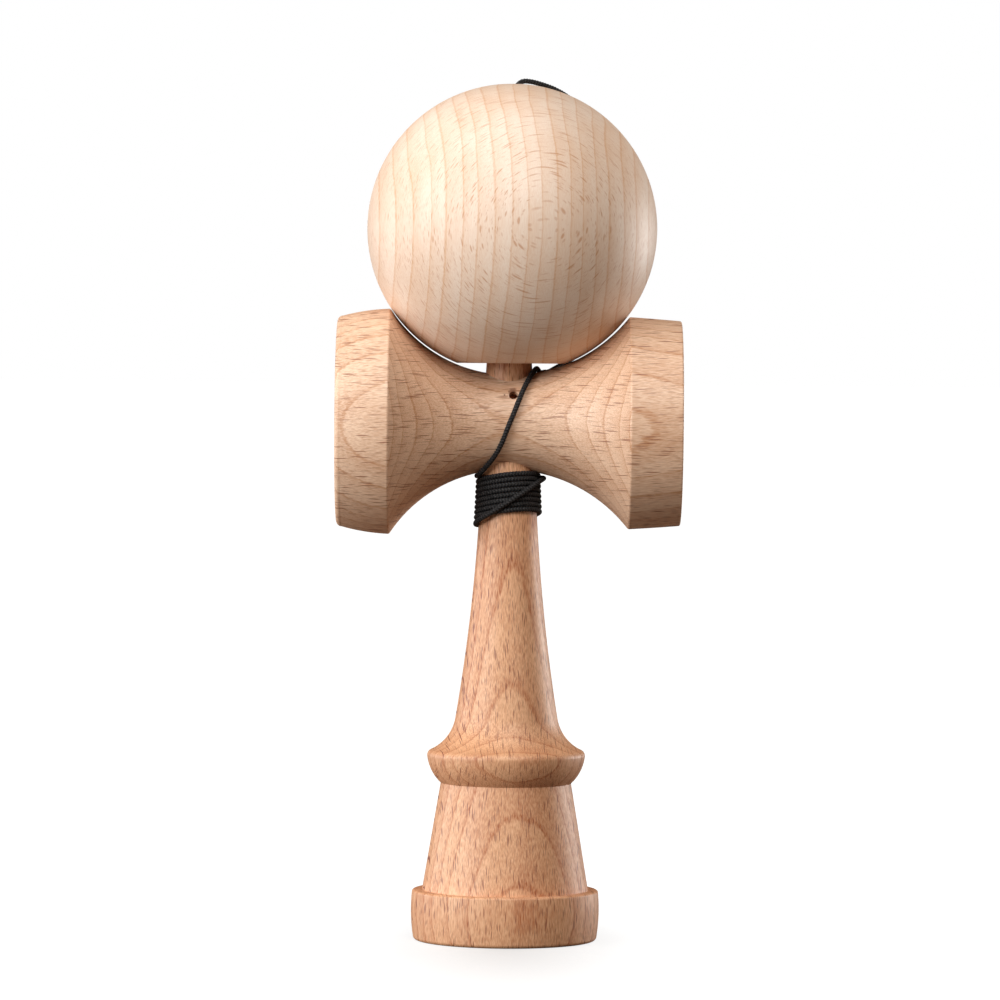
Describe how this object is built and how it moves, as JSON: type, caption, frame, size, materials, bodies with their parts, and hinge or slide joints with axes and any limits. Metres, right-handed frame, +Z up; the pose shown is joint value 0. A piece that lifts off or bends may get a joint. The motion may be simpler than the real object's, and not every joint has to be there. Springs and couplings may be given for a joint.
{
  "type": "cup and ball toy",
  "caption": "Turned beech cup and ball toy: spiked handle with a dished base, crosspiece with a cup at either end, and a bored ball on a black braided string wound round the neck.",
  "frame": {"origin": "middle of the base on the floor, on the handle's axis", "axes": "+Z up along the handle to the spike, +X along the crosspiece to the small cup, -Y to the front that the picture shows"},
  "size_m": [0.0716, 0.0602, 0.1796],
  "materials": {
    "handle_wood": "smooth bare beech, warm tan",
    "crosspiece_wood": "smooth bare beech, tan",
    "ball_wood": "smooth bare beech, pale",
    "bead_wood": "smooth bare beech",
    "string": "black braided nylon, slight sheen"
  },
  "bodies": {
    "handle": {"handle": "handle_wood", "crosspiece": "crosspiece_wood", "crosspiece_knot": "string", "string_tail": "string", "string_winding": "string", "string_lead": "string"},
    "bead": {"bead": "bead_wood", "ball_knot": "string", "string_riser": "string"},
    "ball": {"ball": "ball_wood"}
  },
  "joints": [
    {"name": "ball_lift", "type": "slide", "parent": "handle", "child": "bead", "axis": [0, 0, 1], "range_m": [0, 0.05], "deforming": ["string_riser"]},
    {"name": "ball_spin", "type": "hinge", "parent": "bead", "child": "ball", "pos_m": [0.0004, 0, 0.1482], "axis": [0, 0, 1], "continuous": true}
  ]
}
